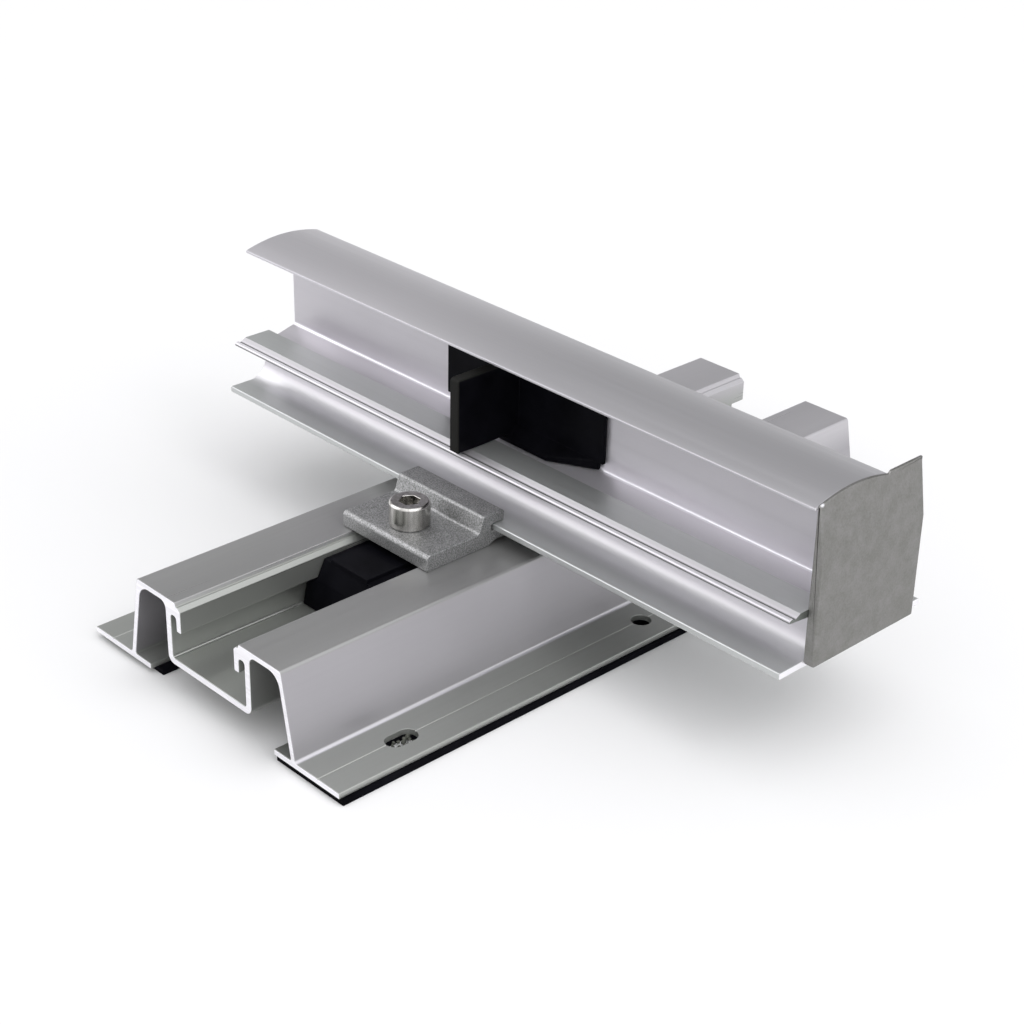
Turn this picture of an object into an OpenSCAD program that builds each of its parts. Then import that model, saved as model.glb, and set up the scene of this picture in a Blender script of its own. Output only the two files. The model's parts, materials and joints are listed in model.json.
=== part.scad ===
// Solar mounting rail set: a base rail that is screwed to a roof, a cross rail clamped over it
// that takes the edges of the modules, two clamps in the base rail's channel, and small parts.
// Sizes are in millimetres. The base rail runs along Y, the cross rail along X, and Z is up.
// The origin is on the ground under the middle of the whole set.

/* [Base rail] */
// Length of the base rail
base_len = 250; // [230:1:400]
// Height of the base rail, from under its feet to its two flat tops
base_h = 30; // [27:0.5:40]
// Width over the two flat tops
plateau_w = 70; // [68:0.5:78]
// How far each outer leg leans out, from its top to its foot
leg_lean = 5.4; // [3:0.2:7]
// Wall of the outer legs
leg_t = 2; // [1.6:0.1:2.6]
// Wall of the flat tops
plateau_t = 1.9; // [1.6:0.1:2.6]
// Thickness of the feet
foot_t = 2; // [1.6:0.1:3]
// How far each foot reaches outside its leg
foot_out = 19.6; // [17:0.2:24]
// How far each foot reaches inside its leg
foot_in = 7.9; // [5:0.1:9]
// Depth of the scribed drilling line on each foot
scribe_depth = 0.3; // [0.2:0.1:0.6]

/* [Channel of the base rail] */
// Inside width of the channel
channel_w = 36; // [35:0.2:37]
// Wall of the channel's sides
channel_t = 2.5; // [2:0.1:3]
// Depth of the channel, from the flat tops to its floor
channel_depth = 20; // [19:0.2:24]
// Thickness of the channel floor
floor_t = 2.2; // [1.6:0.1:2.6]
// Width of the channel's mouth, between the two hooks
mouth_w = 26; // [25.4:0.2:26.6]
// Thickness of each hook that hangs down beside the mouth
hook_t = 2.3; // [2:0.1:2.6]
// Depth of the hooks below the flat tops
hook_drop = 9.8; // [9.2:0.1:10.2]
// Depth of solid metal above the groove behind each hook
hook_root = 4.9; // [4.5:0.1:5.3]
// Width of the small step along each side of the mouth
step_w = 2.6; // [2.2:0.1:3]
// Depth of the small step along each side of the mouth
step_h = 2.5; // [2:0.1:2.8]

/* [Fixing holes] */
// Distance from the front end of the base rail to the first slot
hole_start = 30.8; // [20:0.2:40]
// Distance from the rear end of the base rail to the last slot
hole_end = 19.2; // [15:0.2:40]
// Distance of the holes from the outer edge of the foot
hole_edge = 9.5; // [8:0.1:11]
// Diameter of the round holes and width of the slots
hole_d = 6.5; // [5:0.1:8]
// Length of the slots, end to end
slot_len = 11; // [9.5:0.5:14]

/* [Gaskets] */
// Thickness of the rubber strips under the feet
gasket_t = 2; // [1:0.1:4]
// Width of the rubber strips
gasket_w = 30; // [28:0.5:34]
// How much shorter the rubber strips are than the base rail
gasket_short = 4; // [3:0.5:20]
// How far the left strip stays inside the foot's outer edge
gasket_left_inset = 2.3; // [0:0.1:3]
// How far the right strip stands out past the foot's outer edge
gasket_right_outset = 1; // [0:0.1:2]
// How far the left strip stays behind the front end of the base rail
gasket_left_back = 2.35; // [0:0.05:2.5]
// How far the right strip stays behind the front end of the base rail
gasket_right_back = 0.5; // [0:0.1:2.5]

/* [Cross rail] */
// Length of the cross rail
cross_len = 250; // [200:1:400]
// Sideways place of the cross rail's middle over the base rail
cross_shift = 10; // [-10:1:30]
// Place of the cross rail along the base rail, from its middle
cross_y = 0.9; // [-3:0.1:3]
// Width of the bottom flange
flange_w = 62.6; // [61:0.1:66]
// Thickness of the bottom flange
flange_t = 2.2; // [2:0.1:2.4]
// Width over the two lower webs that carry the shelf
box_w = 31.8; // [30:0.2:34]
// Wall of the lower webs
box_t = 2.2; // [1.8:0.1:2.6]
// Radius between the front lower web and the flange
web_fillet = 7; // [4:0.5:8]
// Height of the shelf above the underside of the flange
shelf_h = 18.8; // [17.5:0.1:22]
// Thickness of the shelf
shelf_t = 2.4; // [2:0.1:2.8]
// Reach of the shelf's front nose from the middle of the flange
nose_front = 28.8; // [27.5:0.1:30]
// Distance from the front of the nose back to the shelf's flat top
nose_w = 4.5; // [4:0.1:5]
// Thickness of the nose at its front
nose_t = 1.3; // [1:0.1:1.6]
// Reach of the back shelf from the middle of the flange
nose_back = 23.4; // [21:0.1:27]
// Depth of the drain groove behind the front shelf
groove_depth = 2.7; // [1.6:0.1:3]
// Distance of the upright web's front face in front of the middle of the flange
web_front = 2.6; // [1:0.1:3.5]
// Thickness of the upright web
web_t = 2.5; // [2:0.1:3]
// Height of the crown of the cap above the underside of the flange
cap_h = 52.7; // [50:0.1:60]
// Radius of the cap's curved top
cap_r = 54.4; // [48:0.2:70]
// Distance of the cap's crown in front of the middle of the flange
crown_front = 6.5; // [5:0.1:8]
// Reach of the cap's front edge from its crown
cap_reach = 16; // [15:0.1:18]
// Reach of the cap's back edge from its crown
cap_back = 15; // [13:0.1:17]
// Thickness of the cap at its crown
cap_t = 2.2; // [1.8:0.1:2.4]
// Thickness of the cap at its front edge
cap_edge_t = 0.9; // [0.8:0.1:1.6]

/* [End plate] */
// Thickness of the end plate
end_t = 3.6; // [2.4:0.1:4]
// Height of the plate's bottom edge above the underside of the flange
end_lift = 1.2; // [0:0.1:3]
// How far the plate's front edge stays behind the cap's front edge
end_inset = 1.4; // [1:0.1:3]
// Reach of the plate's back edge from the middle of the flange
end_back = 23.5; // [22:0.1:28]
// Height of the plate's straight back stretch of the top edge
end_back_h = 51.4; // [50:0.1:51.8]
// Height above which the outer face leans in
end_kink_h = 34; // [28:0.5:40]
// Thickness left at the top edge
end_edge_t = 0.5; // [0.3:0.1:1]
// Length of the two lugs that plug into the cross rail
lug_len = 10; // [6:1:20]

/* [Clamps] */
// Width of each clamp across the base rail
clamp_w = 40; // [34:0.5:50]
// Thickness of the clamp's plate
clamp_t = 5.4; // [5.2:0.1:7]
// Length of the plate, from the jaw's inner wall to its outer edge
clamp_len = 26.5; // [24:0.5:32]
// Height of the jaw's top above the base rail
jaw_top = 10.8; // [10.2:0.1:13]
// How far the upper lip reaches over the flange, from the jaw's inner wall
lip_reach = 5.3; // [3.5:0.1:6.5]
// How far the tongue reaches under the flange, from the jaw's inner wall
tongue_reach = 11; // [6:0.5:13]
// Height of the tongue's top above the base rail
tongue_top = 4.8; // [4.2:0.1:5.2]
// Step up of the tongue's underside off the base rail
tongue_step = 1.3; // [0.8:0.1:1.8]
// Distance of the screw from the jaw's inner wall
screw_out = 16.1; // [14:0.1:17]

/* [Screw and nut] */
// Thread diameter of the screw
screw_d = 8; // [6:1:8]
// Diameter of the screw's head
head_d = 13; // [12:0.1:14]
// Height of the screw's head
head_h = 8; // [6:0.1:8]
// Width across flats of the socket in the head
socket_w = 6; // [4:0.5:6.5]
// Depth of the socket in the head
socket_depth = 4; // [3:0.1:5]
// Length of the slot nut along the channel
nut_len = 30; // [24:1:34]
// Thickness of the slot nut's plate
nut_t = 6.4; // [5:0.1:7]

/* [Nut holder] */
// Half the width of the raised panel on the nut holder
panel_half = 8.7; // [7:0.1:10]
// Depth of the raised panel's top below the base rail's flat tops
panel_sink = 2.1; // [1.5:0.1:3]
// Distance of the panel's outer edge from the jaw's inner wall
panel_out = 40.6; // [38:0.1:44]
// Height of the panel above the shoulders beside it
panel_step = 1.5; // [1:0.1:2]
// Distance of the holder's toe from the jaw's inner wall
toe_out = 43.3; // [42.5:0.1:46]

/* [Module spacer] */
// Place of the spacer's fin along the cross rail
spacer_x = 0.2; // [-20:0.2:20]
// Thickness of the fin
fin_t = 3.6; // [2.4:0.1:5]
// Reach of the fin's front edge from the middle of the flange
fin_front = 30.4; // [28:0.1:32]
// Height of the fin's top above the underside of the flange
fin_top = 44.1; // [38:0.1:46]
// Thickness of the spacer's back plate
back_t = 1.4; // [1:0.1:3]
// Width of the back plate to the left of the fin's middle
back_left = 32; // [20:0.5:40]
// Width of the back plate to the right of the fin's middle
back_right = 39.3; // [30:0.5:45]
// Height of the back plate's top above the underside of the flange
back_top = 47.4; // [46.2:0.1:48]
// Height of the back plate's lower edge above the shelf
back_lift = 1.9; // [0.5:0.1:2.2]
// Length of the foot's straight front edge to the right of the fin
foot_reach = 13.2; // [8:0.1:20]
// Thickness of the foot at its front edge
foot_edge_t = 1.6; // [1:0.1:2]

/* [Clearances] */
// Running gap round the nut, between sliding pieces
slide_gap = 0.3; // [0.2:0.05:0.4]
// Gap between the nut's top and the hooks it is drawn against
draw_gap = 0.1; // [0.05:0.05:0.2]
// Radial gap of the screw in the nut's thread
thread_gap = 0.05; // [0.03:0.01:0.08]
// Radial gap of the screw in the clamp and the nut holder
screw_gap = 0.5; // [0.4:0.05:0.8]
// Gap between the flange and the clamp's upper lip
lip_gap = 0.3; // [0.1:0.05:0.5]
// Gap between the flange's edge and the jaw's inner wall
edge_gap = 0.85; // [0.4:0.05:1.2]
// Gap between the screw's tip and the channel floor
tip_gap = 0.4; // [0.3:0.1:6]
// Gap of the end plate's lugs in the cross rail
lug_gap = 0.15; // [0.1:0.05:0.3]

/* [Hidden] */
$fn = 48;
eps = 0.5;

// Base rail, half widths from its centre plane and heights from under its feet
plateau_x = plateau_w / 2;
leg_foot_x = plateau_x + leg_lean;
foot_x = leg_foot_x + foot_out;
foot_inner_x = leg_foot_x - leg_t - foot_in;
wall_x = channel_w / 2;
wall_out_x = wall_x + channel_t;
mouth_x = mouth_w / 2;
hook_x = mouth_x + hook_t;
hook_z = base_h - hook_drop;
floor_z = base_h - channel_depth;
floor_lift = floor_z - floor_t;
hole_x = foot_x - hole_edge;
hole_y0 = hole_start - base_len / 2;
hole_pitch = (base_len - hole_start - hole_end) / 2;
gasket_len = base_len - gasket_short;

// Cross rail, distances from the middle of its flange and heights from under it
flange_y = flange_w / 2;
box_y = box_w / 2;
web_back = web_t - web_front;
crown_z = cap_h - cap_r;
cap_tip_y = crown_front + cap_reach;
cap_back_y = cap_back - crown_front;
cap_drop = cap_r - sqrt(cap_r * cap_r - cap_reach * cap_reach);
under_drop = cap_drop - (cap_t - cap_edge_t);
under_r = (cap_reach * cap_reach + under_drop * under_drop) / (2 * under_drop);
groove_z = shelf_h - groove_depth;
groove_y = box_y - 5.5;
web_foot_z = shelf_h - 0.7;
ceiling_z = groove_z - shelf_t;

// Where things stand: heights above the ground
deck_z = gasket_t + base_h;
flange_z = deck_z + tongue_top;
cross_left = cross_shift - cross_len / 2;
cross_right = cross_shift + cross_len / 2;
middle_x = (cross_left + cross_right + end_t) / 2;
jaw_y = flange_y + edge_gap;
screw_len = clamp_t + channel_depth - tip_gap;

aluminium = "silver";
sand_cast = "darkgray";
black_plastic = [0.08, 0.08, 0.09];
rubber = [0.05, 0.05, 0.05];
steel = "lightgray";

// Corners [x, y, radius] become points, each corner rounded to its own radius
function unit(v) = v / norm(v);
function turn(d) = d > 180 ? d - 360 : d < -180 ? d + 360 : d;
function corner(p, q, s, r) =
    let (a = unit(p - q), b = unit(s - q), half = acos(a * b) / 2)
    let (c = q + unit(a + b) * r / sin(half), d = r / tan(half))
    let (from = q + a * d - c, to = q + b * d - c)
    let (start = atan2(from[1], from[0]), sweep = turn(atan2(to[1], to[0]) - start))
    let (steps = max(2, ceil(abs(sweep) / 12)))
    [for (i = [0 : steps]) c + r * [cos(start + sweep * i / steps), sin(start + sweep * i / steps)]];
function rounded(pts) =
    [for (i = [0 : len(pts) - 1])
        let (n = len(pts), p = pts[(i + n - 1) % n], q = pts[i], s = pts[(i + 1) % n])
        each q[2] > 0 ? corner([p[0], p[1]], [q[0], q[1]], [s[0], s[1]], q[2]) : [[q[0], q[1]]]];

// Points on an arc about [y, z], from angle a to angle b, as corners with no rounding
function arc(y, z, r, a, b, steps) =
    [for (i = [0 : steps]) let (t = a + (b - a) * i / steps) [y + r * cos(t), z + r * sin(t), 0]];

module along_y(length) {
    rotate([90, 0, 0])
        linear_extrude(height = length, center = true)
            children();
}

module along_x(length) {
    rotate([90, 0, 90])
        linear_extrude(height = length)
            children();
}

// Everything is drawn about the base rail's centre plane and then moved over the origin
module placed(z) {
    translate([-middle_x, 0, z])
        children();
}

// The base rail's section: the corners of its right half, and the same corners mirrored
module base_section() {
    top_z = base_h - plateau_t;
    lean = leg_lean / (base_h - foot_t);
    leg_top_x = plateau_x - leg_t + lean * plateau_t;
    scribe_x = hole_x;
    step_x = mouth_x + step_w;
    half = [
        [wall_out_x, floor_lift, 2.8],
        [wall_out_x, top_z, 2.5],
        [leg_top_x, top_z, 5],
        [leg_foot_x - leg_t, foot_t, 0.6],
        [foot_inner_x, foot_t, 0.4],
        [foot_inner_x, 0, 0.3],
        [foot_x, 0, 0.3],
        [foot_x, foot_t, 0.4],
        [scribe_x + scribe_depth, foot_t, 0],
        [scribe_x, foot_t - scribe_depth, 0],
        [scribe_x - scribe_depth, foot_t, 0],
        [leg_foot_x, foot_t, 1],
        [plateau_x, base_h, 1],
        [step_x, base_h, 0.5],
        [step_x - 0.25 * step_w, base_h - 0.55 * step_h, 0.3],
        [step_x - 0.5 * step_w, base_h - 0.5 * step_h, 0.3],
        [mouth_x, base_h - step_h, 0.4],
        [mouth_x, hook_z, 0.5],
        [hook_x, hook_z, 0.5],
        [hook_x, base_h - hook_root, 1.1],
        [wall_x, base_h - hook_root, 1.1],
        [wall_x, floor_z, 1]
    ];
    mirrored = [for (i = [len(half) - 1 : -1 : 0]) [-half[i][0], half[i][1], half[i][2]]];
    polygon(rounded(concat(half, mirrored)));
}

module slot_hole(length) {
    reach = max(length - hole_d, 0) / 2;
    for (side = [-1, 1])
        translate([0, side * reach, 0])
            cylinder(d = hole_d, h = 3 * (foot_t + gasket_t), center = true);
    if (reach > 0)
        cube([hole_d, 2 * reach, 3 * (foot_t + gasket_t)], center = true);
}

// The fixing holes of one foot: slot, round hole, slot
module foot_holes(side) {
    translate([side * hole_x, hole_y0, 0])
        slot_hole(slot_len);
    translate([side * hole_x, hole_y0 + hole_pitch, 0])
        slot_hole(hole_d);
    translate([side * hole_x, hole_y0 + 2 * hole_pitch, 0])
        slot_hole(slot_len);
}

module base_rail() {
    color(aluminium)
        placed(gasket_t)
            difference() {
                along_y(base_len)
                    base_section();
                foot_holes(-1);
                foot_holes(1);
            }
}

// A rubber strip from its left edge x and its front end y
module gasket(x, y, side) {
    color(rubber)
        placed(0)
            difference() {
                translate([x, y, 0])
                    cube([gasket_w, gasket_len, gasket_t]);
                foot_holes(side);
            }
}

module gasket_left() {
    gasket(gasket_left_inset - foot_x, gasket_left_back - base_len / 2, -1);
}

module gasket_right() {
    gasket(foot_x + gasket_right_outset - gasket_w, gasket_right_back - base_len / 2, 1);
}

// The cross rail's section, front on the left: flange, box, shelves, upright web and curved cap
module cross_section() {
    flat_y = nose_front - nose_w;
    step_y = box_y - 1.9;
    tip_angle = acos(-cap_reach / cap_r);
    back_angle = acos(cap_back / cap_r);
    under_z = cap_h - cap_t - under_r;
    under_tip = acos(-(cap_reach - 0.2) / under_r);
    under_web = acos((crown_front - web_front - 3) / under_r);
    under_rear = acos((crown_front + web_back + 3) / under_r);
    under_back = acos((cap_back - 0.2) / under_r);
    under_web_z = under_z + under_r * sin(acos((crown_front - web_front) / under_r));
    under_rear_z = under_z + under_r * sin(acos((crown_front + web_back) / under_r));
    difference() {
        polygon(rounded(concat([
            [-flange_y, 0, 0.6],
            [flange_y, 0, 0.6],
            [flange_y, flange_t, 0.6],
            [box_y, flange_t, 3],
            [box_y, shelf_h - shelf_t, 1.5],
            [nose_back, shelf_h - shelf_t, 1],
            [nose_back, shelf_h, 1],
            [web_back, shelf_h, 2],
            [web_back, under_rear_z, 2.5]],
            arc(-crown_front, under_z, under_r, under_rear, under_back, 4),
            arc(-crown_front, crown_z, cap_r, back_angle, tip_angle, 18),
            arc(-crown_front, under_z, under_r, under_tip, under_web, 8), [
            [-web_front, under_web_z, 2.5],
            [-web_front, web_foot_z, 0.6],
            [-groove_y, groove_z, 1],
            [-groove_y - 1.6, groove_z, 0.5],
            [-step_y, shelf_h, 0.3],
            [-flat_y, shelf_h, 0.7],
            [-flat_y - 0.45 * nose_w, shelf_h - 1.1, 0.5],
            [-flat_y - 0.6 * nose_w, shelf_h - 1.2, 0.4],
            [-flat_y - 0.7 * nose_w, shelf_h - 0.5, 0.4],
            [-nose_front, shelf_h - 0.9, 0.5],
            [-nose_front, shelf_h - 0.6 - nose_t, 0.4],
            [-box_y, shelf_h - shelf_t - 0.9, 2.5],
            [-box_y, flange_t, web_fillet],
            [-flange_y, flange_t, 0.4]
        ])));
        polygon(rounded([
            [-box_y + box_t, flange_t, 1],
            [box_y - box_t, flange_t, 1],
            [box_y - box_t, ceiling_z, 1],
            [-box_y + box_t, ceiling_z, 1]
        ]));
    }
}

module cross_rail() {
    color(aluminium)
        placed(flange_z)
            translate([cross_left, cross_y, 0])
                along_x(cross_len)
                    cross_section();
}

// The end plate's outline: its top follows the cap and then runs straight to the back edge
module end_outline() {
    front_y = cap_tip_y - end_inset;
    tip_angle = acos((crown_front - front_y) / cap_r);
    back_angle = acos(cap_back / cap_r);
    polygon(rounded(concat([
        [-front_y, end_lift, 0.8],
        [end_back, end_lift, 0.8],
        [end_back, end_back_h, 0.4],
        [cap_back_y + 0.6, end_back_h, 0]],
        arc(-crown_front, crown_z, cap_r, back_angle, tip_angle, 12)
    )));
}

module end_plate() {
    lug_w = box_w - 2 * box_t - 2 * lug_gap;
    lug_h = ceiling_z - flange_t - 2 * lug_gap;
    lean = atan((end_t - end_edge_t) / (cap_h - end_kink_h));
    color(sand_cast)
        placed(flange_z)
            translate([cross_right, cross_y, 0]) {
                difference() {
                    along_x(end_t)
                        end_outline();
                    translate([end_t, 0, end_kink_h])
                        rotate([0, -lean, 0])
                            translate([0, -flange_w, 0])
                                cube([2 * end_t, 2 * flange_w, 2 * cap_h]);
                }
                for (side = [0, 1])
                    mirror([0, side, 0])
                        translate([-lug_len, lug_w / 2 - box_t, flange_t + lug_gap])
                            cube([lug_len + eps, box_t, lug_h]);
            }
}

// The fin and back plate keep the modules apart. The foot lies on the shelf's sloping back
module module_spacer() {
    web_y = -web_front - slide_gap;
    fin_low = shelf_h + slide_gap;
    foot_low = groove_z + 2 * slide_gap;
    foot_web = web_foot_z + 2 * slide_gap;
    foot_y = -groove_y + 0.9;
    foot_top = fin_low + back_lift + back_t;
    color(black_plastic)
        placed(flange_z)
            translate([spacer_x, cross_y, 0]) {
                translate([-fin_t / 2, 0, 0])
                    along_x(fin_t)
                        polygon(rounded([
                            [-fin_front, fin_low, 0.5],
                            [web_y, fin_low, 0],
                            [web_y, fin_top, 0],
                            [-fin_front, fin_top, 1.2]
                        ]));
                translate([-back_left, web_y - back_t, fin_low + back_lift])
                    cube([back_left + back_right, back_t, back_top - fin_low - back_lift]);
                intersection() {
                    translate([-fin_t / 2, 0, 0])
                        along_x(back_right)
                            polygon([
                                [web_y, foot_web],
                                [web_y, foot_top],
                                [foot_y, foot_low + foot_edge_t],
                                [foot_y, foot_low]
                            ]);
                    linear_extrude(height = cap_h)
                        polygon([
                            [-fin_t / 2, web_y + eps],
                            [back_right - 2, web_y + eps],
                            [back_right - 2, web_y - 1],
                            [fin_t / 2 + foot_reach, -groove_y - eps],
                            [-fin_t / 2, -groove_y - eps]
                        ]);
                }
            }
}

// The clamp's section: [distance out from the jaw's inner wall, height above the base rail]
module clamp_section() {
    flange_top = tongue_top + flange_t + lip_gap;
    polygon(rounded([
        [clamp_len, 0, 0.5],
        [clamp_len, clamp_t, 1.6],
        [5.2, clamp_t, 1.2],
        [3.4, jaw_top, 1.2],
        [-lip_reach, jaw_top, 1],
        [-lip_reach, flange_top, 0.4],
        [0, flange_top, 0.6],
        [0, tongue_top, 0.6],
        [-tongue_reach, tongue_top, 0.5],
        [-tongue_reach, tongue_step, 0.5],
        [-1.5, tongue_step, 0],
        [1.1, 0, 0]
    ]));
}

module clamp_body() {
    color(sand_cast)
        difference() {
            translate([-clamp_w / 2, 0, 0])
                along_x(clamp_w)
                    clamp_section();
            translate([0, screw_out, 0])
                cylinder(r = screw_d / 2 + screw_gap, h = 3 * clamp_t, center = true);
        }
}

// Socket head screw, standing on the clamp's plate
module clamp_screw() {
    rim = 0.6;
    tip = 1;
    color(steel)
        translate([0, screw_out, clamp_t])
            difference() {
                rotate_extrude()
                    polygon([
                        [0, head_h],
                        [head_d / 2 - rim, head_h],
                        [head_d / 2, head_h - rim],
                        [head_d / 2, 0.3],
                        [head_d / 2 - 0.3, 0],
                        [screw_d / 2, 0],
                        [screw_d / 2, tip - screw_len],
                        [screw_d / 2 - tip, -screw_len],
                        [0, -screw_len]
                    ]);
                translate([0, 0, head_h - socket_depth])
                    cylinder(d = socket_w / cos(30), h = head_h, $fn = 6);
            }
}

// Slot nut: a plate drawn up under the hooks, with a rib in the groove behind each hook
module slot_nut() {
    half = wall_x - 2 * slide_gap;
    top = -hook_drop - draw_gap;
    rib_top = -hook_root - 2.5 * slide_gap;
    rib_x = hook_x + slide_gap;
    color(steel)
        translate([0, screw_out, 0])
            difference() {
                along_y(nut_len)
                    polygon(rounded([
                        [-half, top - nut_t, 1.5],
                        [half, top - nut_t, 1.5],
                        [half, rib_top, 0.5],
                        [rib_x, rib_top, 0.5],
                        [rib_x, top, 0],
                        [-rib_x, top, 0],
                        [-rib_x, rib_top, 0.5],
                        [-half, rib_top, 0.5]
                    ]));
                cylinder(r = screw_d / 2 + thread_gap, h = 3 * deck_z, center = true);
            }
}

// Plastic holder: a bridge over the nut with a raised panel, and a toe and a heel in the channel
module nut_holder() {
    shoulder_half = mouth_x - slide_gap;
    toe_half = wall_x - 3 * slide_gap;
    shoulder_top = -panel_sink - panel_step;
    bridge_low = -hook_drop + slide_gap;
    toe_top = -hook_drop - slide_gap;
    toe_low = floor_z - base_h + slide_gap;
    nut_front = screw_out + nut_len / 2 + slide_gap;
    nut_back = screw_out - nut_len / 2 - slide_gap;
    heel = nut_back - 5;
    color(black_plastic)
        difference() {
            union() {
                translate([-panel_half, heel, bridge_low])
                    cube([2 * panel_half, panel_out - heel, -panel_sink - bridge_low]);
                translate([-shoulder_half, 0, 0])
                    along_x(2 * shoulder_half)
                        polygon([
                            [heel, toe_top],
                            [toe_out, toe_top],
                            [panel_out - 0.6, shoulder_top],
                            [heel, shoulder_top]
                        ]);
                translate([-toe_half, 0, 0])
                    along_x(2 * toe_half)
                        polygon([
                            [nut_front, toe_low],
                            [toe_out + 2, toe_low],
                            [toe_out, toe_top],
                            [nut_front, toe_top]
                        ]);
                translate([-toe_half, heel, toe_low])
                    cube([2 * toe_half, nut_back - heel, toe_top - toe_low]);
            }
            translate([-shoulder_half - eps, nut_back, toe_top - eps])
                cube([2 * (shoulder_half + eps), nut_front - nut_back, bridge_low - toe_top + eps]);
            translate([0, screw_out, 0])
                cylinder(r = screw_d / 2 + screw_gap, h = 3 * deck_z, center = true);
        }
}

// A clamp set sits on the base rail with its jaw round one edge of the flange
module clamp_place(side) {
    placed(deck_z)
        translate([0, cross_y + side * jaw_y, 0])
            mirror([0, side < 0 ? 1 : 0, 0])
                children();
}

module front_clamp() {
    clamp_place(-1) clamp_body();
}

module front_screw() {
    clamp_place(-1) clamp_screw();
}

module front_nut() {
    clamp_place(-1) slot_nut();
}

module front_nut_holder() {
    clamp_place(-1) nut_holder();
}

module rear_clamp() {
    clamp_place(1) clamp_body();
}

module rear_screw() {
    clamp_place(1) clamp_screw();
}

module rear_nut() {
    clamp_place(1) slot_nut();
}

module rear_nut_holder() {
    clamp_place(1) nut_holder();
}

base_rail();
gasket_left();
gasket_right();
cross_rail();
end_plate();
module_spacer();
front_clamp();
front_screw();
front_nut();
front_nut_holder();
rear_clamp();
rear_screw();
rear_nut();
rear_nut_holder();
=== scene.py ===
# %% [markdown]
# # A solar mounting rail set
# Two aluminium extrusions cross each other. The lower one is screwed to a roof through its
# slotted feet, and the upper one takes the edges of the solar modules. This lesson dresses the
# exact solids of the set: it rebuilds the two rails as swept sections, softens every edge that a
# hand would feel, and gives each metal, plastic and rubber its own finish.

# %% Load the exact frame
import json
import math
import bmesh
import bpy
from mathutils import Matrix, Vector


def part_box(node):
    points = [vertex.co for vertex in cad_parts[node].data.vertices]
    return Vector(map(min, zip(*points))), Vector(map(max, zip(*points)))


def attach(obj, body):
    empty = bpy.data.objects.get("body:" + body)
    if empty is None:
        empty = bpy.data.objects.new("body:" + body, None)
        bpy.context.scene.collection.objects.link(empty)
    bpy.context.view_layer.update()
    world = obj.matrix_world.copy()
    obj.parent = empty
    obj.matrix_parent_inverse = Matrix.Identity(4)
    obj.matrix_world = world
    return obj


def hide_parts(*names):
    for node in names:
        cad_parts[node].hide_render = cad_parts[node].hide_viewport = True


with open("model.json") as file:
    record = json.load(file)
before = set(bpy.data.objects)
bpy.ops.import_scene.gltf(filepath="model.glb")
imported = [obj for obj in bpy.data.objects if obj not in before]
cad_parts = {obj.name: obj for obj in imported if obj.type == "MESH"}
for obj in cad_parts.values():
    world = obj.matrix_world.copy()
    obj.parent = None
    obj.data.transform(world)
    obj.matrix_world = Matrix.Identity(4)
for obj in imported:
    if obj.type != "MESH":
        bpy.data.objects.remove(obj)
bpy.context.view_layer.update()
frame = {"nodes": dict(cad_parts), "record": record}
NODES = frame["nodes"]
MM = 0.001
print("nodes:", len(NODES))

# %% [markdown]
# ## Where the camera stands
# The photograph looks down on the set from its front right, with a lens of about 75 mm. The place
# of the camera was worked out from the straight edges of the two rails, so one turn about the
# view axis is needed as well, because the camera was held a little askew.

# %% Camera
CAMERA_PLACE = Vector((0.4271, -0.4244, 0.3487))
CAMERA_AZIMUTH = math.radians(46.2008)
CAMERA_ELEVATION = math.radians(27.965)
CAMERA_ROLL = math.radians(1.2223)
CAMERA_LENS = 74.46

camera_data = bpy.data.cameras.new("camera")
camera_data.lens = CAMERA_LENS
camera_data.sensor_width = 36.0
camera_data.clip_start = 0.01
camera = bpy.data.objects.new("camera", camera_data)
bpy.context.scene.collection.objects.link(camera)
turn = (Matrix.Rotation(CAMERA_AZIMUTH, 4, "Z")
        @ Matrix.Rotation(math.pi / 2 - CAMERA_ELEVATION, 4, "X")
        @ Matrix.Rotation(CAMERA_ROLL, 4, "Z"))
camera.matrix_world = Matrix.Translation(CAMERA_PLACE) @ turn
bpy.context.scene.camera = camera
print("camera looks down", round(math.degrees(CAMERA_ELEVATION), 1), "degrees")

# %% [markdown]
# ## Small helpers for node materials
# Every finish below is a chain of the same few nodes: a pattern on object coordinates, a ramp
# that turns it into a colour or a roughness, and a bump. Naming these once keeps each finish
# short.


# %% Helpers for materials
def new_finish(name):
    """A node material, with its tree, its Principled shader and the object coordinates."""
    material = bpy.data.materials.new(name)
    material.use_nodes = True
    tree = material.node_tree
    shader = next(n for n in tree.nodes if n.type == "BSDF_PRINCIPLED")
    place = tree.nodes.new("ShaderNodeTexCoord")
    return material, tree, shader, place.outputs["Object"]


def stretched(tree, place, scale):
    """Object coordinates scaled along each axis, so that a pattern runs in lines."""
    mapping = tree.nodes.new("ShaderNodeMapping")
    mapping.inputs["Scale"].default_value = scale
    tree.links.new(place, mapping.inputs["Vector"])
    return mapping.outputs["Vector"]


def noise(tree, vector, scale, detail=4.0, rough=0.55):
    """A noise pattern, with scale in waves per metre."""
    node = tree.nodes.new("ShaderNodeTexNoise")
    node.inputs["Scale"].default_value = scale
    node.inputs["Detail"].default_value = detail
    node.inputs["Roughness"].default_value = rough
    tree.links.new(vector, node.inputs["Vector"])
    return node.outputs["Fac"]


def spread(tree, value, low, high, start=0.3, stop=0.7):
    """A pattern stretched to run from one number to another."""
    node = tree.nodes.new("ShaderNodeMapRange")
    node.inputs["From Min"].default_value = start
    node.inputs["From Max"].default_value = stop
    node.inputs["To Min"].default_value = low
    node.inputs["To Max"].default_value = high
    tree.links.new(value, node.inputs["Value"])
    return node.outputs["Result"]


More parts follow.
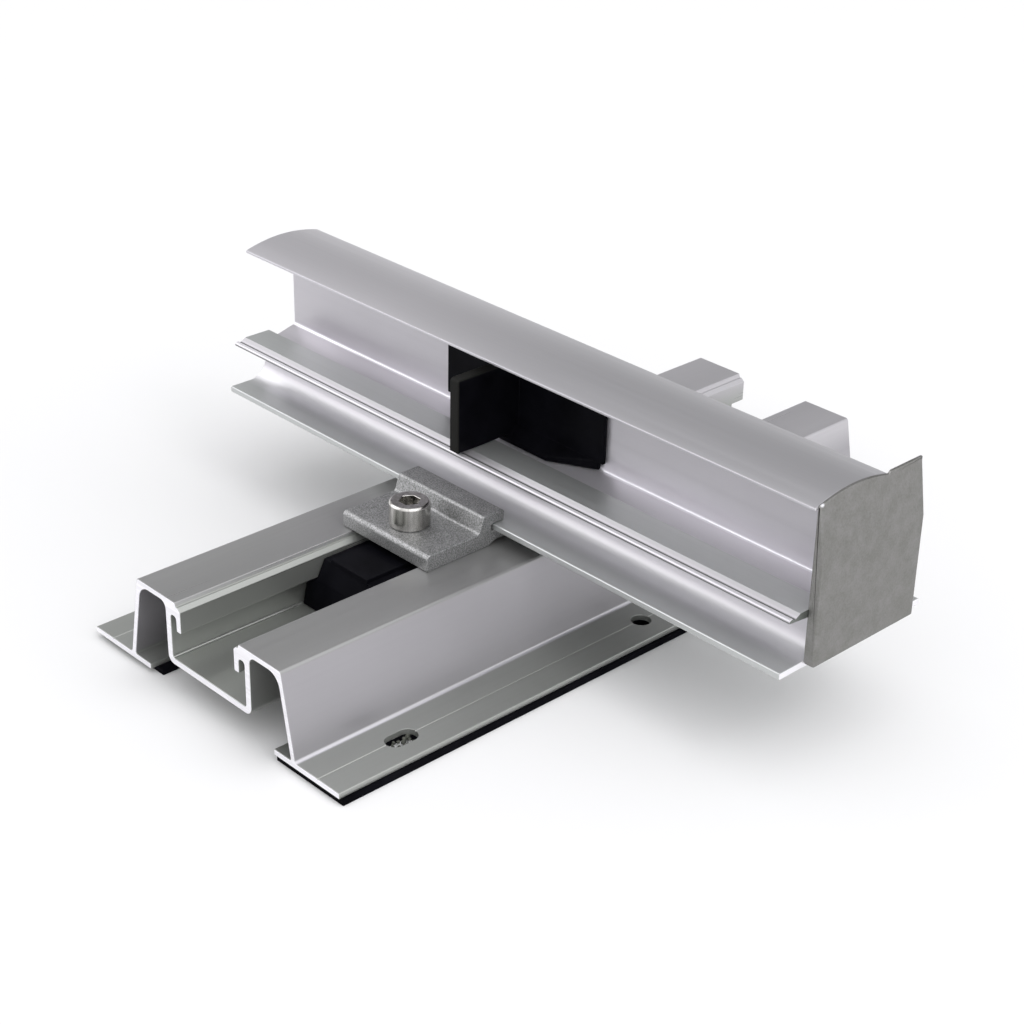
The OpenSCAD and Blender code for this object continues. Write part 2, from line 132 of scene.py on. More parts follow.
def tint(tree, value, low, high, start=0.35, stop=0.65):
    """A pattern turned into a blend of two colours."""
    node = tree.nodes.new("ShaderNodeValToRGB")
    node.color_ramp.elements[0].position = start
    node.color_ramp.elements[0].color = (*low, 1.0)
    node.color_ramp.elements[1].position = stop
    node.color_ramp.elements[1].color = (*high, 1.0)
    tree.links.new(value, node.inputs["Fac"])
    return node.outputs["Color"]


def mixed(tree, first, second, share):
    """Two patterns in one. The share of the second is a number or a pattern itself."""
    node = tree.nodes.new("ShaderNodeMix")
    if isinstance(share, float):
        node.inputs[0].default_value = share
    else:
        tree.links.new(share, node.inputs[0])
    tree.links.new(first, node.inputs[2])
    tree.links.new(second, node.inputs[3])
    return node.outputs[0]


def near(tree, place, centre, inner, outer):
    """One at a point and nothing away from it, with a soft rim between two radii."""
    node = tree.nodes.new("ShaderNodeVectorMath")
    node.operation = "DISTANCE"
    node.inputs[1].default_value = centre
    tree.links.new(place, node.inputs[0])
    return spread(tree, node.outputs["Value"], 1.0, 0.0, inner, outer)


def painted(tree, below, above, mask):
    """One colour over another where a mask is one."""
    node = tree.nodes.new("ShaderNodeMix")
    node.data_type = "RGBA"
    tree.links.new(mask, node.inputs[0])
    tree.links.new(below, node.inputs[6])
    node.inputs[7].default_value = (*above, 1.0)
    return node.outputs[2]


def raised(tree, shader, value, depth, strength=1.0, after=None):
    """A bump from a pattern, with its depth in metres."""
    node = tree.nodes.new("ShaderNodeBump")
    node.inputs["Strength"].default_value = strength
    node.inputs["Distance"].default_value = depth
    tree.links.new(value, node.inputs["Height"])
    if after is not None:
        tree.links.new(after, node.inputs["Normal"])
    tree.links.new(node.outputs["Normal"], shader.inputs["Normal"])
    return node.outputs["Normal"]


print("material helpers ready")

# %% [markdown]
# ## Extruded aluminium
# A rail leaves its die with faint lines along its length, and the clear anodising after it turns
# the shine satin. The lines are a noise squeezed across the rail and drawn out along it. A slow,
# wide noise moves the colour a little. The open faces are a lilac grey. Painted shade turns the
# channel, the feet, the flange and the flat of the shelf a greener grey, and darkens the flat tops
# of the base rail and the cap, most of all near the end plate. Painted highlights draw the
# brightest lines along the small fillets, the nose's front crest and the cap's front edge, and
# make the hollows beside the web's foot and above the flange the brightest faces of the cross
# rail. Painted shade draws dark lines along the nose's back crest, in its groove and under its
# front crest, and painted light pales the base rail towards its far end. All of these are masks
# on the place in the rail. The channel is a little smoother as well, so it mirrors the black
# holder.


# %% Finish of the extruded faces
LINE_WAVES = 900.0
LINE_WAVES_ALONG = 5.0
PATCH_WAVES = 14.0
GRAIN_WAVES = 2600.0
LINE_DEPTH = 0.0025 * MM
GRAIN_DEPTH = 0.004 * MM
THIN_CORE = 0.35 * MM
THIN_RIM = 0.85 * MM
PATCH_SHADE = 0.95
METAL_SHARE = 0.72


def extruded_aluminium(name, along, open_grey, painted_light_zones, painted_light_lines, rough, zone_rough):
    """Satin aluminium with die lines along one axis: 0 for X, 1 for Y.

    A zone paints light or shade: a colour round a middle, in coordinates that its weights stretch,
    full up to an inner radius and gone at an outer one. The first zone has its own roughness. A
    painted light line is a highlight or a shade painted along the whole rail at one place of its
    section.
    """
    material, tree, shader, place = new_finish(name)
    waves = [LINE_WAVES] * 3
    waves[along] = LINE_WAVES_ALONG
    lines = noise(tree, stretched(tree, place, waves), 1.0, 3.0)
    patches = noise(tree, place, PATCH_WAVES, 3.0)
    grain = noise(tree, place, GRAIN_WAVES, 2.0)
    skin = tint(tree, patches, tuple(PATCH_SHADE * c for c in open_grey), open_grey)
    masks = []
    # Each zone paints light or shade over the skin.
    for weights, middle, inner, outer, colour in painted_light_zones.values():
        masks.append(near(tree, stretched(tree, place, weights), middle, inner, outer))
        skin = painted(tree, skin, colour, masks[-1])
    section_only = [1.0] * 3
    section_only[along] = 0.0
    # Each line paints a highlight or a shade along the rail.
    for spot, colour in painted_light_lines.values():
        line = near(tree, stretched(tree, place, section_only), spot, THIN_CORE, THIN_RIM)
        skin = painted(tree, skin, colour, line)
    tree.links.new(skin, shader.inputs["Base Color"])
    smoothness = mixed(tree, spread(tree, lines, rough, rough + 0.1),
                       spread(tree, lines, zone_rough, zone_rough + 0.08), masks[0])
    tree.links.new(smoothness, shader.inputs["Roughness"])
    shader.inputs["Metallic"].default_value = METAL_SHARE
    line_normal = raised(tree, shader, lines, LINE_DEPTH)
    raised(tree, shader, grain, GRAIN_DEPTH, 0.6, line_normal)
    return material


print("extruded finish ready")

# %% The base rail's painted light and shade
base_low, base_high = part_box("base_rail")
BASE_MID = (base_low.x + base_high.x) / 2
# A pale grey for painted highlights, and a green grey for painted shade in sheltered places.
PAINTED_HIGHLIGHT_GREY = (0.60, 0.59, 0.62)
PAINTED_SHADE_GREEN = (0.375, 0.386, 0.367)
# Painted shade on the channel, the flat tops and the feet; painted light on the far end.
BASE_PAINTED_LIGHT_ZONES = {
    "channel": ((1, 0, 0), (BASE_MID, 0, 0), 20 * MM, 32 * MM, PAINTED_SHADE_GREEN),
    "flat tops": ((0, 0, 1), (0, 0, 32 * MM), 0.5 * MM, 1.2 * MM, (0.352, 0.352, 0.35)),
    "feet": ((0, 0, 1), (0, 0, 2 * MM), 2.4 * MM, 3 * MM, PAINTED_SHADE_GREEN),
    "far end": ((0, 0.05, 0.4), (0, 6.25 * MM, 12.8 * MM), 1 * MM, 4 * MM, (0.51, 0.50, 0.52)),
}
# Painted highlights along the fillets where each leg meets its foot.
BASE_PAINTED_HIGHLIGHTS = {
    "right leg's foot": ((BASE_MID + 40.7 * MM, 0, 4.3 * MM), PAINTED_HIGHLIGHT_GREY),
    "left leg's foot": ((BASE_MID - 40.5 * MM, 0, 4.3 * MM), PAINTED_HIGHLIGHT_GREY),
}
RAIL_Y = extruded_aluminium("aluminium_along_y", 1, (0.385, 0.375, 0.395), BASE_PAINTED_LIGHT_ZONES, BASE_PAINTED_HIGHLIGHTS,
                            rough=0.32, zone_rough=0.27)
print(RAIL_Y.name, "has", len(BASE_PAINTED_LIGHT_ZONES), "zones and", len(BASE_PAINTED_HIGHLIGHTS), "thin lines")

# %% The cross rail's painted light and shade
SHADED = (0.16, 0.165, 0.16)
# Painted shade on the flange, the flat of the shelf and the cap, darkest near the end plate;
# painted highlights in the hollows above the flange and beside the web.
CROSS_PAINTED_LIGHT_ZONES = {
    "flange": ((0, 0, 1), (0, 0, 38 * MM), 2.4 * MM, 4 * MM, (0.53, 0.545, 0.54)),
    "hollow above the flange":
        ((0, 1, 1), (0, -19 * MM, 39.8 * MM), 1.2 * MM, 5 * MM, (0.72, 0.72, 0.735)),
    "flat of the shelf":
        ((0, 1, 2), (0, -18.2 * MM, 111.2 * MM), 5 * MM, 6 * MM, (0.515, 0.53, 0.525)),
    "cap": ((0, 0, 1), (0, 0, 89 * MM), 2.6 * MM, 3.4 * MM, (0.49, 0.48, 0.50)),
    "cap near the end plate":
        ((0.022, 0, 1), (2.7 * MM, 0, 88.2 * MM), 2.4 * MM, 4 * MM, (0.41, 0.405, 0.42)),
    "hollow beside the web":
        ((0.04, 1, 0.5), (1.6 * MM, -5 * MM, 27 * MM), 4.5 * MM, 7 * MM, (0.745, 0.73, 0.765)),
}
# Painted highlights along the web's foot, the nose's front crest and the cap's front edge; painted
# shade along the nose's back crest, in its groove and under its front crest.
CROSS_PAINTED_LIGHT_LINES = {
    "web's foot": ((0, -2.0 * MM, 55.0 * MM), (0.93, 0.92, 0.96)),
    "back crest of the nose": ((0, -24.1 * MM, 55.2 * MM), (0.48, 0.475, 0.49)),
    "front crest of the nose": ((0, -27.2 * MM, 54.85 * MM), (0.74, 0.73, 0.76)),
    "groove of the nose": ((0, -25.8 * MM, 54.2 * MM), SHADED),
    "under the front crest": ((0, -28.1 * MM, 53.7 * MM), SHADED),
    "front edge of the cap": ((0, -21.5 * MM, 86.6 * MM), PAINTED_HIGHLIGHT_GREY),
}
RAIL_X = extruded_aluminium("aluminium_along_x", 0, (0.56, 0.545, 0.575), CROSS_PAINTED_LIGHT_ZONES, CROSS_PAINTED_LIGHT_LINES,
                            rough=0.36, zone_rough=0.36)
print(RAIL_X.name, "has", len(CROSS_PAINTED_LIGHT_ZONES), "zones and", len(CROSS_PAINTED_LIGHT_LINES), "thin lines")

# %% [markdown]
# ## Sawn ends
# Both rails were cut to sample length with a fine saw. The cut faces are bare metal, brighter
# than the anodised skin, with close parallel teeth marks. A photograph of a saw cut could be laid
# on them, but a squeezed noise draws the marks without any image and fits a face of any size. The
# nose of the shelf was trimmed short behind the end plate, and painted shade darkens its cut.


# %% Finish of the sawn faces
BARE_METAL = [(0.86, 0.85, 0.88), (0.95, 0.94, 0.97)]
# The colour of the painted shade on the cut end of the shelf's nose.
NOSE_END_SHADE = (0.20, 0.215, 0.20)
NOSE_SHADE_RIM = 2 * MM
TOOTH_WAVES = 1500.0
TOOTH_WAVES_ALONG = 60.0
TOOTH_DEPTH = 0.01 * MM


def sawn_aluminium(name, across, shade_place, shade_reach):
    """Bare aluminium with saw marks, and painted shade round one place. The cut looks along the
    axis across.
    """
    material, tree, shader, place = new_finish(name)
    mark_waves = [TOOTH_WAVES_ALONG, TOOTH_WAVES_ALONG, TOOTH_WAVES]
    mark_waves[across] = 1.0
    marks = noise(tree, stretched(tree, place, mark_waves), 1.0, 2.0)
    bright = tint(tree, marks, *BARE_METAL)
    # Painted shade round one place, full up to its reach.
    nose_shade = near(tree, place, shade_place, shade_reach, shade_reach + NOSE_SHADE_RIM)
    tree.links.new(painted(tree, bright, NOSE_END_SHADE, nose_shade), shader.inputs["Base Color"])
    tree.links.new(spread(tree, marks, 0.38, 0.55), shader.inputs["Roughness"])
    shader.inputs["Metallic"].default_value = 0.9
    raised(tree, shader, marks, TOOTH_DEPTH)
    return material


# Painted shade round the cut end of the shelf's nose.
NOSE_END = (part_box("cross_rail")[1].x, -25 * MM, 54 * MM)
SAWN_Y = sawn_aluminium("sawn_end_of_base_rail", 1, NOSE_END, 1 * MM)
SAWN_X = sawn_aluminium("sawn_end_of_cross_rail", 0, NOSE_END, 12 * MM)
print("finishes:", SAWN_Y.name, SAWN_X.name)

# %% [markdown]
# ## Blasted and cast metal
# The clamps were blasted before anodising, so they look like very fine sandpaper. The end plate
# is duller and darker, with cloudy patches where it was handled. Both use the same recipe with
# other numbers: a fine grain for the bump and the speckles, and a slower noise for the clouds. A
# painted glint shines on the end plate's front top corner.


# %% Finishes of the clamps and the end plate
# The colour of a painted glint.
PAINTED_GLINT_WHITE = (0.85, 0.85, 0.88)
SPOT_CORE = 0.3 * MM
SPOT_RIM = 0.9 * MM


def grained_metal(name, colours, grain_waves, grain_depth, cloud_waves, speckle, rough, metal,
                  glint_spot=None):
    """Grainy, clouded metal. The speckle is the grain's share of the colour, the rest is cloud."""
    material, tree, shader, place = new_finish(name)
    grain = noise(tree, place, grain_waves, 5.0, 0.7)
    clouds = noise(tree, place, cloud_waves, 5.0, 0.6)
    skin = tint(tree, mixed(tree, clouds, grain, speckle), *colours, 0.38, 0.62)
    # A painted glint round one spot.
    if glint_spot is not None:
        skin = painted(tree, skin, PAINTED_GLINT_WHITE, near(tree, place, glint_spot, SPOT_CORE, SPOT_RIM))
    tree.links.new(skin, shader.inputs["Base Color"])
    tree.links.new(spread(tree, grain, rough - 0.06, rough + 0.08), shader.inputs["Roughness"])
    shader.inputs["Metallic"].default_value = metal
    raised(tree, shader, grain, grain_depth)
    return material


# The place of the painted glint on the end plate's front top corner.
GLINT_CORNER = (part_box("end_plate")[1].x - 2.8 * MM, -19.2 * MM, 87.8 * MM)
CLAMP = grained_metal("blasted_clamp", [(0.13, 0.135, 0.13), (0.455, 0.455, 0.46)],
                      grain_waves=2200.0, grain_depth=0.06 * MM, cloud_waves=300.0, speckle=0.85,
                      rough=0.46, metal=0.8)
PLATE = grained_metal("cloudy_end_plate", [(0.205, 0.205, 0.19), (0.285, 0.28, 0.275)],
                      grain_waves=1500.0, grain_depth=0.03 * MM, cloud_waves=200.0, speckle=0.6,
                      rough=0.50, metal=1.0, glint_spot=GLINT_CORNER)
print("finishes:", CLAMP.name, PLATE.name)

# %% [markdown]
# ## Screw, nut, plastic and rubber
# Two recipes cover all the small pieces: shiny metal with faint marks, and black moulding with a
# fine texture. The screw is bright stainless steel with a hint of warmth. The nut is zinc plated
# and stays in the dark. The plastic pieces are black and finely textured, with a painted sheen
# that greys the front face and the top of the spacer's fin, and the rubber strips are blacker
# still and fully matte.


# %% Finishes of the small pieces
BLACKS = [(0.002, 0.002, 0.003), (0.005, 0.005, 0.007)]
# The grey of the painted sheen, and how far it reaches from its plane.
PAINTED_SHEEN_GREY = (0.016, 0.016, 0.015)
SHEEN_CORE = 0.4 * MM
SHEEN_RIM = 0.8 * MM
TEXTURE_WAVES = 1800.0
HAZE_WAVES = 60.0


def plated_metal(name, waves, detail, colours, rough, depth):
    """Shiny metal with faint marks, from the number of waves per metre along each axis."""
    material, tree, shader, place = new_finish(name)
    marks = noise(tree, stretched(tree, place, waves), 1.0, detail)
    tree.links.new(tint(tree, marks, *colours), shader.inputs["Base Color"])
    tree.links.new(spread(tree, marks, *rough), shader.inputs["Roughness"])
    shader.inputs["Metallic"].default_value = 1.0
    raised(tree, shader, marks, depth)
    return material


def black_moulded(name, rough, texture_depth, sheen_planes=()):
    """Black plastic or rubber, with a painted sheen that greys the faces lying in the given planes.
    """
    material, tree, shader, place = new_finish(name)
    texture = noise(tree, place, TEXTURE_WAVES, 3.0)
    haze = noise(tree, place, HAZE_WAVES, 3.0)
    skin = tint(tree, haze, *BLACKS)
    # A painted sheen on the faces in each plane.
    for weights, middle in sheen_planes:
        sheen_mask = near(tree, stretched(tree, place, weights), middle, SHEEN_CORE, SHEEN_RIM)
        skin = painted(tree, skin, PAINTED_SHEEN_GREY, sheen_mask)
    tree.links.new(skin, shader.inputs["Base Color"])
    tree.links.new(spread(tree, haze, rough - 0.05, rough + 0.08), shader.inputs["Roughness"])
    shader.inputs["Specular IOR Level"].default_value = 0.03
    raised(tree, shader, texture, texture_depth)
    return material


STEEL = plated_metal("bright_steel", (700.0, 700.0, 90.0), 3.0,
                     [(0.38, 0.37, 0.35), (0.54, 0.53, 0.51)], rough=(0.15, 0.24), depth=0.006 * MM)
ZINC = plated_metal("zinc_plate", (500.0, 500.0, 500.0), 4.0,
                    [(0.52, 0.52, 0.50), (0.64, 0.64, 0.63)], rough=(0.3, 0.45), depth=0.01 * MM)
# The painted sheen lies on the fin's front face and its top.
FIN_FRONT = ((0, 1, 0), (0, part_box("module_spacer")[0].y, 0))
FIN_TOP = ((0, 0, 1), (0, 0, 80.9 * MM))
SPACER = black_moulded("black_plastic_with_painted_sheen", 0.42, 0.02 * MM, [FIN_FRONT, FIN_TOP])
PLASTIC = black_moulded("black_plastic", 0.42, 0.02 * MM)
RUBBER = black_moulded("black_rubber", 0.85, 0.06 * MM)
print("finishes:", *(m.name for m in (STEEL, ZINC, SPACER, PLASTIC, RUBBER)))

# %% [markdown]
# ## Swept rails
# An extrusion is one outline drawn out along a line, which is exactly what Geometry Nodes do
# well. The outline comes from the exact solid: the faces that lie at its front end. The node tree
# sweeps them to the rail's length, closes the far end with the same faces turned round, and gives
# the whole rail its finish.


# %% Take shapes from the exact solids
WELD_REACH = 0.002 * MM
MERGE_REACH = 0.001 * MM
FLAT_REACH = 0.01 * MM


def opened(node):
    """A solid's loose triangles welded together, ready to edit."""
    shape = bmesh.new()
    shape.from_mesh(NODES[node].data)
    bmesh.ops.remove_doubles(shape, verts=shape.verts, dist=WELD_REACH)
    return shape


def joined_flat(shape, name, angle):
    """The edited shape as a mesh, with the triangles of its flat faces joined again."""
    bmesh.ops.dissolve_limit(shape, angle_limit=math.radians(angle), verts=shape.verts,
                             edges=shape.edges, use_dissolve_boundaries=False)
    mesh = bpy.data.meshes.new(name)
    shape.to_mesh(mesh)
    shape.free()
    return mesh


def end_section(node, axis):
    """The flat faces at the low end of a rail, as a mesh of their own."""
    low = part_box(node)[0][axis]
    shape = opened(node)
    away = [f for f in shape.faces if any(abs(v.co[axis] - low) > FLAT_REACH for v in f.verts)]
    bmesh.ops.delete(shape, geom=away, context="FACES")
    mesh = joined_flat(shape, node + "_section", 1.0)
    print(node, "section has", len(mesh.vertices), "corners and", len(mesh.polygons), "faces")
    return mesh


def placed(name, mesh):
    """A new object in the scene."""
    piece = bpy.data.objects.new(name, mesh)
    bpy.context.scene.collection.objects.link(piece)
    return piece


def baked(piece):
    """Turns what the modifiers of a piece make into its plain mesh."""
    ready = piece.evaluated_get(bpy.context.evaluated_depsgraph_get())
    plain = bpy.data.meshes.new_from_object(ready)
    piece.modifiers.clear()
    piece.data = plain
    return piece


print("shape helpers ready")

# %% [markdown]
# ## Parts that the node trees share
# Each tree starts with named inputs, and ends by making its instances real and giving them their
# finish. The trees that make a rail and a cutter also push flat faces out into a block and weld a
# lid on it.


# %% Start and solve a tree
def new_tree(name, sizes):
    """A Geometry Nodes tree with geometry in and out, and a named input for each size."""
    tree = bpy.data.node_groups.new(name, "GeometryNodeTree")
    tree.is_modifier = True
    tree.interface.new_socket("Geometry", in_out="INPUT", socket_type="NodeSocketGeometry")
    for size in sizes:
        tree.interface.new_socket(size, in_out="INPUT", socket_type="NodeSocketFloat")
    tree.interface.new_socket("Finish", in_out="INPUT", socket_type="NodeSocketMaterial")
    tree.interface.new_socket("Geometry", in_out="OUTPUT", socket_type="NodeSocketGeometry")
    return tree, tree.nodes.new("NodeGroupInput").outputs


def solved(name, mesh, tree, values):
    """Runs a tree on a mesh and returns the result as a plain object with no modifier."""
    piece = placed(name, mesh)
    modifier = piece.modifiers.new("build", "NODES")
    modifier.node_group = tree
    sockets = {s.name: s.identifier for s in tree.interface.items_tree if s.in_out == "INPUT"}
    for key, value in values.items():
        modifier[sockets[key]] = value
    return baked(piece)


print("a tree can be started and solved")


# %% Steps that the trees share
def pushed(tree, faces, distance, axis):
    """Flat faces pushed out along an axis, without the faces that they start from."""
    way = tree.nodes.new("ShaderNodeCombineXYZ")
    tree.links.new(distance, way.inputs[axis])
    push = tree.nodes.new("GeometryNodeExtrudeMesh")
    push.inputs["Individual"].default_value = False
    tree.links.new(faces, push.inputs["Mesh"])
    tree.links.new(way.outputs[0], push.inputs["Offset"])
    return push.outputs["Mesh"]


def flipped(tree, faces):
    """The same faces turned round."""
    flip = tree.nodes.new("GeometryNodeFlipFaces")
    tree.links.new(faces, flip.inputs["Mesh"])
    return flip.outputs["Mesh"]


def welded(tree, *parts):
    """Several meshes as one, with the corners that meet joined."""
    join = tree.nodes.new("GeometryNodeJoinGeometry")
    for part in parts:
        tree.links.new(part, join.inputs["Geometry"])
    weld = tree.nodes.new("GeometryNodeMergeByDistance")
    weld.inputs["Distance"].default_value = MERGE_REACH
    tree.links.new(join.outputs["Geometry"], weld.inputs["Geometry"])
    return weld.outputs["Geometry"]


def realized(tree, geometry):
    """Instances turned into plain mesh."""
    real = tree.nodes.new("GeometryNodeRealizeInstances")
    tree.links.new(geometry, real.inputs["Geometry"])
    return real.outputs["Geometry"]


def finished(tree, given, geometry):
    """Gives the geometry the tree's finish and sends it out."""
    finish = tree.nodes.new("GeometryNodeSetMaterial")
    tree.links.new(geometry, finish.inputs["Geometry"])
    tree.links.new(given["Finish"], finish.inputs["Material"])
    stop = tree.nodes.new("NodeGroupOutput")
    tree.links.new(finish.outputs["Geometry"], stop.inputs["Geometry"])
    return tree


print("shared steps ready")


# %% The tree that sweeps a section
def sweep_tree(axis):
    """Section faces at the low end become a closed bar along an axis."""
    tree, given = new_tree("sweep_rail", ["Length"])
    bar = flipped(tree, pushed(tree, given["Geometry"], given["Length"], axis))
    return finished(tree, given, realized(tree, welded(tree, given["Geometry"], bar)))


def swept(node, name, axis, finish):
    """A rail rebuilt from its own end section."""
    low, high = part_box(node)
    piece = solved(name, end_section(node, axis), sweep_tree(axis),
                   {"Length": high[axis] - low[axis], "Finish": finish})
    print(name, "has", len(piece.data.polygons), "faces")
    return piece


base_skin = swept("base_rail", "base_rail_skin", 1, RAIL_Y)
cross_skin = swept("cross_rail", "cross_rail_skin", 0, RAIL_X)

# %% [markdown]
# ## Holes in the feet
# The feet have a slot, a round hole and a slot in a row. One tree makes them all: a rounded
# rectangle is filled, thickened and set on each point of a row. A round hole is a slot as long as
# it is wide, and its corners take a hair less than half the width, so that the straight sides
# never shrink to nothing. The boolean that cuts them out runs on the exact solver, because the
# cuts must stay crisp.


# %% The tree that makes a row of cutters
ROUND_STEPS = 16
UNDER_HALF = 0.4999


def cutter_tree():
    """A block with round ends on each point of the mesh that comes in."""
    tree, given = new_tree("row_of_slots", ["Width", "Length", "Depth"])
    new, link = tree.nodes.new, tree.links.new
    outline = new("GeometryNodeCurvePrimitiveQuadrilateral")
    link(given["Width"], outline.inputs["Width"])
    link(given["Length"], outline.inputs["Height"])
    radius = new("ShaderNodeMath")
    radius.operation = "MULTIPLY"
    radius.inputs[1].default_value = UNDER_HALF
    link(given["Width"], radius.inputs[0])
    ends = new("GeometryNodeFilletCurve")
    ends.mode = "POLY"
    ends.inputs["Count"].default_value = ROUND_STEPS
    ends.inputs["Limit Radius"].default_value = True
    link(outline.outputs["Curve"], ends.inputs["Curve"])
    link(radius.outputs[0], ends.inputs["Radius"])
    fill = new("GeometryNodeFillCurve")
    fill.mode = "NGONS"
    link(ends.outputs["Curve"], fill.inputs["Curve"])
    lid = fill.outputs["Mesh"]
    row = new("GeometryNodeInstanceOnPoints")
    link(given["Geometry"], row.inputs["Points"])
    link(welded(tree, pushed(tree, lid, given["Depth"], 2), flipped(tree, lid)),
         row.inputs["Instance"])
    return finished(tree, given, realized(tree, row.outputs["Instances"]))


def hole_row(name, points, width, length):
    """One cutter on each point. The points are the centres of the cutters' lower faces."""
    mesh = bpy.data.meshes.new(name + "_points")
    mesh.from_pydata(points, [], [])
    return solved(name, mesh, cutter_tree(),
                  {"Width": width, "Length": length, "Depth": CUT_DEPTH, "Finish": RAIL_Y})


MOUNTS = {m["name"]: m for m in frame["record"]["mounts"]}
slot_dims = MOUNTS["foot_slots_right"]["dims"]
HOLE_WIDTH = 2 * slot_dims["hole_r_mm"] * MM
SLOT_LENGTH = slot_dims["slot_length_mm"] * MM
SLOT_PITCH = slot_dims["spacing_y_mm"] * MM
CUT_DEPTH = 4 * MM
CUT_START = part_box("base_rail")[0].z - MM
slot_points = []
round_points = []
for foot in ("foot_slots_left", "foot_slots_right"):
    x, y, _ = MOUNTS[foot]["pos_m"]
    slot_points += [(x, y - SLOT_PITCH / 2, CUT_START), (x, y + SLOT_PITCH / 2, CUT_START)]
    round_points.append((x, y, CUT_START))
print("slots:", len(slot_points), "round holes:", len(round_points))


# %% Cut the holes out of the base rail
def cut_away(piece, cutter):
    """Subtracts one object from another and removes the cutter."""
    modifier = piece.modifiers.new("cut", "BOOLEAN")
    modifier.operation = "DIFFERENCE"
    modifier.solver = "EXACT"
    modifier.object = cutter
    baked(piece)
    bpy.data.objects.remove(cutter)


cut_away(base_skin, hole_row("slots", slot_points, HOLE_WIDTH, SLOT_LENGTH))
cut_away(base_skin, hole_row("round_holes", round_points, HOLE_WIDTH, HOLE_WIDTH))
print("base rail after cutting:", len(base_skin.data.polygons), "faces")

# %% [markdown]
# ## Softened edges
# Real edges catch light because they are never perfectly sharp. A bevel on every edge that turns
# by more than 30 degrees gives each of them a thin bright line. The small facets of the rounded
# corners are smoothed over, and the largest face at each corner sets its normal, so a flat face
# stays flat right up to its rounded edge and round its holes. The modifiers could stay live, but
# their result is made plain here, so that every view shows the same mesh.


# %% Helpers that finish a piece's shape
EDGE_TURN = math.radians(30.0)
SMOOTH_TURN = math.radians(28.0)
FACING_END = 0.9


def softened(piece, width, steps=2):
    """Rounds the sharp edges of a piece and shades it smooth between them."""
    bevel = piece.modifiers.new("soften", "BEVEL")
    bevel.width = width
    bevel.segments = steps
    bevel.limit_method = "ANGLE"
    bevel.angle_limit = EDGE_TURN
    bevel.use_clamp_overlap = False
    bevel.miter_outer = "MITER_ARC"
    baked(piece)
    piece.data.shade_smooth()
    piece.data.set_sharp_from_angle(angle=SMOOTH_TURN)
    level = piece.modifiers.new("level", "WEIGHTED_NORMAL")
    level.mode = "FACE_AREA"
    level.weight = 90
    level.keep_sharp = True
    return baked(piece)


def copied(node, name, finish):
    """A copy of a node with its flat faces joined again, in a new finish."""
    mesh = joined_flat(opened(node), name, 0.5)
    mesh.materials.clear()
    mesh.materials.append(finish)
    return placed(name, mesh)


def paint_ends(piece, axis, finish):
    """Gives the faces that look along an axis at both ends a second finish."""
    places = [v.co[axis] for v in piece.data.vertices]
    low, high = min(places), max(places)
    piece.data.materials.append(finish)
    sawn = 0
    for face in piece.data.polygons:
        middle = face.center[axis]
        at_end = min(middle - low, high - middle) < 2 * FLAT_REACH
        if at_end and abs(face.normal[axis]) > FACING_END:
            face.material_index = len(piece.data.materials) - 1
            sawn += 1
    print(piece.name, "has", sawn, "sawn faces")


RAIL_EDGE = 0.15 * MM
softened(base_skin, RAIL_EDGE)
softened(cross_skin, RAIL_EDGE)
paint_ends(base_skin, 1, SAWN_Y)
paint_ends(cross_skin, 0, SAWN_X)

# %% [markdown]
# ## The smaller pieces
# The clamps, the plate, the plastic pieces and the strips keep the exact shape of their solids.
# They could be modelled again from their measures, but a copy can't drift from the solid that it
# covers. Each one is welded, softened by its own amount and given its finish.

# %% Dress the smaller pieces
# Each node's finish, and the width of its rounded edges in millimetres
DRESSED = {
    "gasket_left": (RUBBER, 0.25),
    "gasket_right": (RUBBER, 0.25),
    "end_plate": (PLATE, 0.60),
    "module_spacer": (SPACER, 0.30),
    "front_clamp": (CLAMP, 0.30),
    "rear_clamp": (CLAMP, 0.30),
    "front_nut": (ZINC, 0.20),
    "rear_nut": (ZINC, 0.20),
    "front_nut_holder": (PLASTIC, 0.30),
    "rear_nut_holder": (PLASTIC, 0.30),
    "front_screw": (STEEL, 0.20),
    "rear_screw": (STEEL, 0.20),
}
pieces = {"base_rail": base_skin, "cross_rail": cross_skin}
for node, (finish, width) in DRESSED.items():
    pieces[node] = softened(copied(node, node + "_skin", finish), width * MM, 3)
print("dressed", len(pieces), "pieces")

# %% [markdown]
# ## Crumbs in the slot
# Through the front slot of the right foot the photograph shows a rubble of dark crumbs, with
# light gaps between them. Placing each one by hand would be slow, so Geometry Nodes scatter small
# rough stones over a strip under the slot, and a fixed seed gives the same rubble each time. They
# lie between the floor and the foot, inside the opening of the rubber strip.


# %% The tree that scatters crumbs
STONES_PER_SQUARE_METRE = 4.0e6
ANY_TURN = (6.28, 6.28, 6.28)
SMALLEST, LARGEST = 0.6, 1.2
DENT_REACH = Vector((1.4, 1.4, 0.9)) * MM
DENT_WAVES = 1600.0


